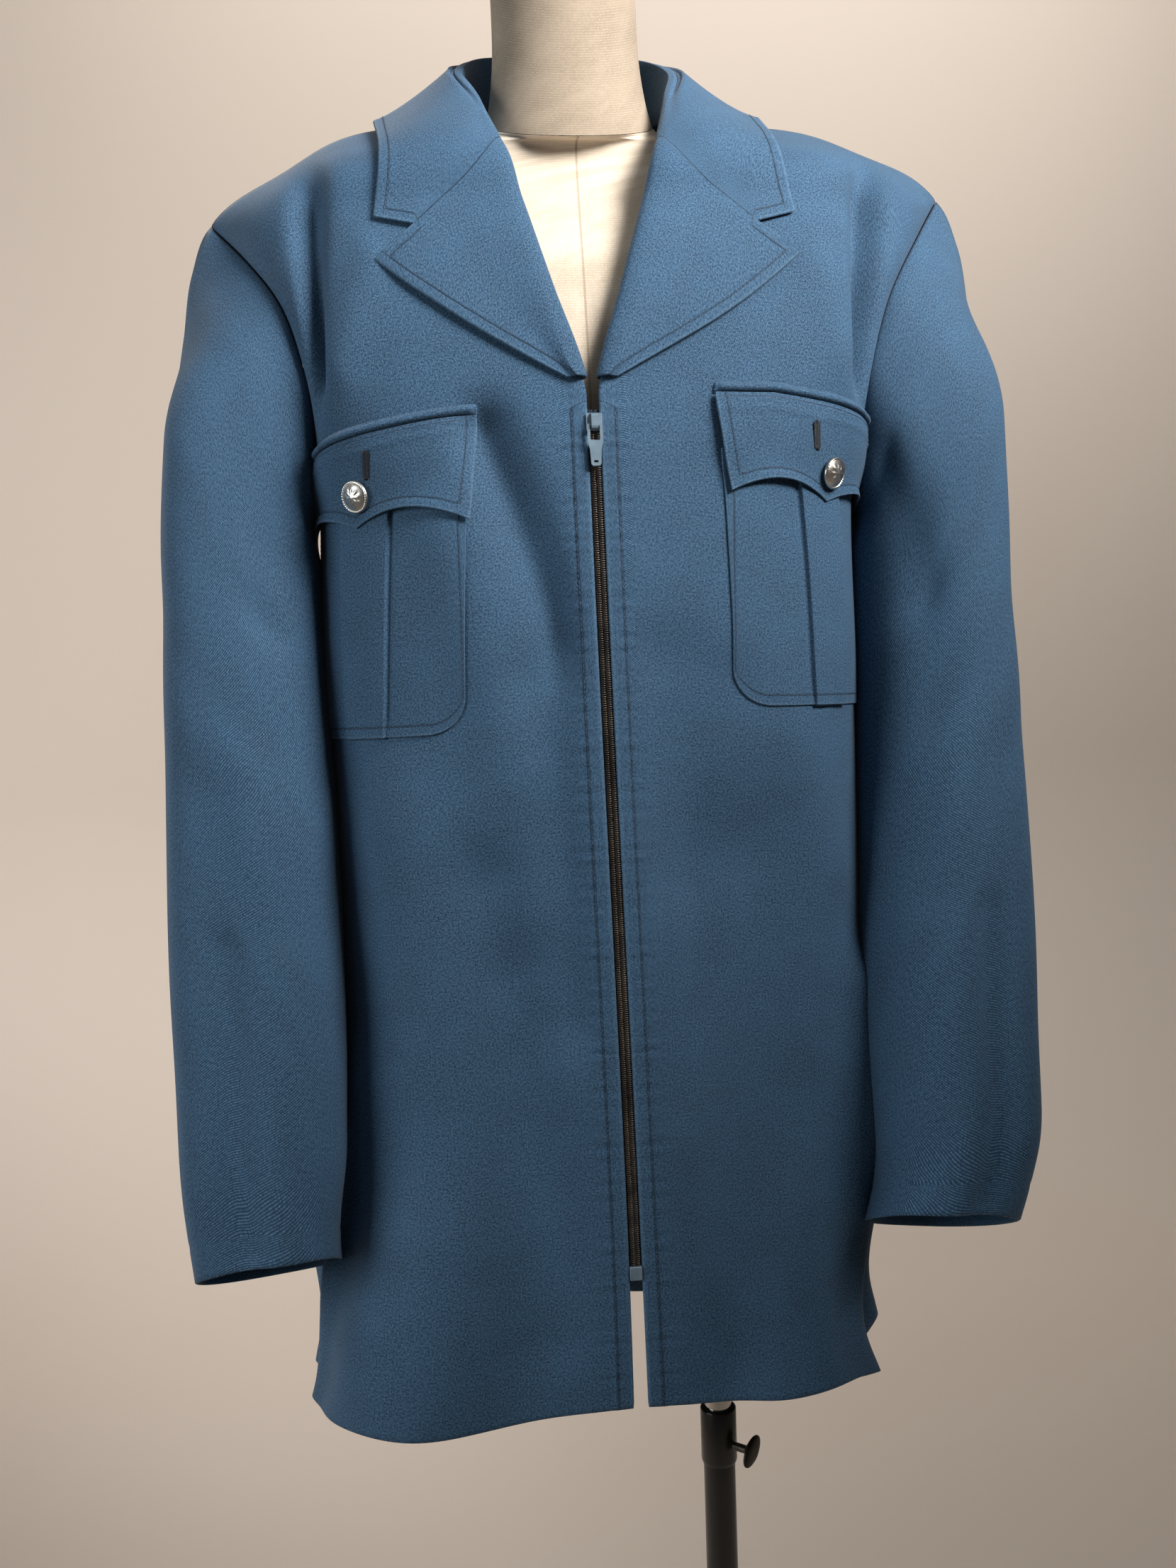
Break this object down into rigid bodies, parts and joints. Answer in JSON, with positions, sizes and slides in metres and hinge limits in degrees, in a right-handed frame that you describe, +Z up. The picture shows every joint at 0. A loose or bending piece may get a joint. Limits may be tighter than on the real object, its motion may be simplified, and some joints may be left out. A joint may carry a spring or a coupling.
{
  "type": "police uniform tunic on a dress form",
  "caption": "Zip-front police tunic with notched lapels and flapped breast pockets, worn by a limbless linen dress form that turns and slides on a pole stand.",
  "frame": {"origin": "centre of the base's flat underside, on the pole's axis", "axes": "+Z up along the pole, -Y towards the front of the tunic, +X towards the wearer's left"},
  "size_m": [0.5522, 0.34, 1.58],
  "materials": {
    "cloth": "blue worsted twill",
    "zip_tape": "woven tape",
    "zip_coil": "bronze-coloured coil",
    "zip_paint": "blue-grey paint",
    "button": "silver-coloured, stamped",
    "linen": "cream linen, stretched",
    "neck_linen": "worn greyer linen",
    "chrome": "bright plated tube",
    "black_paint": "black paint",
    "dark_steel": "dark worn steel"
  },
  "bodies": {
    "stand": {"stand_base": "black_paint", "pole": "black_paint", "pole_collar": "black_paint"},
    "tube": {"inner_tube": "chrome"},
    "screw": {"thumb_screw": "dark_steel"},
    "pull_tab": {"zip_pull_tab": "zip_paint"},
    "dressed_form": {"front_right": "cloth", "front_left": "cloth", "back": "cloth", "sleeve_right": "cloth", "sleeve_left": "cloth", "collar": "cloth", "lapel_right": "cloth", "lapel_left": "cloth", "pocket_right": "cloth", "pocket_left": "cloth", "flap_right": "cloth", "flap_left": "cloth", "welt_right": "cloth", "welt_left": "cloth", "zip_tape_right": "zip_tape", "zip_tape_left": "zip_tape", "zip_chain": "zip_coil", "zip_slider": "zip_paint", "zip_retainer_box": "zip_paint", "button_right": "button", "button_left": "button", "form_torso": "linen", "form_neck": "neck_linen", "form_socket": "dark_steel"}
  },
  "joints": [
    {"name": "height", "type": "slide", "parent": "stand", "child": "tube", "axis": [0, 0, 1], "range_m": [-0.12, 0.1]},
    {"name": "swivel", "type": "hinge", "parent": "tube", "child": "dressed_form", "pos_m": [0, 0, 0.71], "axis": [0, 0, 1], "continuous": true},
    {"name": "clamp_screw", "type": "hinge", "parent": "stand", "child": "screw", "pos_m": [0, 0, 0.522], "axis": [0.7431, -0.6691, 0], "range_deg": [0, 720]},
    {"name": "tab_swing", "type": "hinge", "parent": "dressed_form", "child": "pull_tab", "pos_m": [-0.07799, -0.12449, 1.2073], "axis": [-1, 0, 0], "range_deg": [0, 150]}
  ]
}
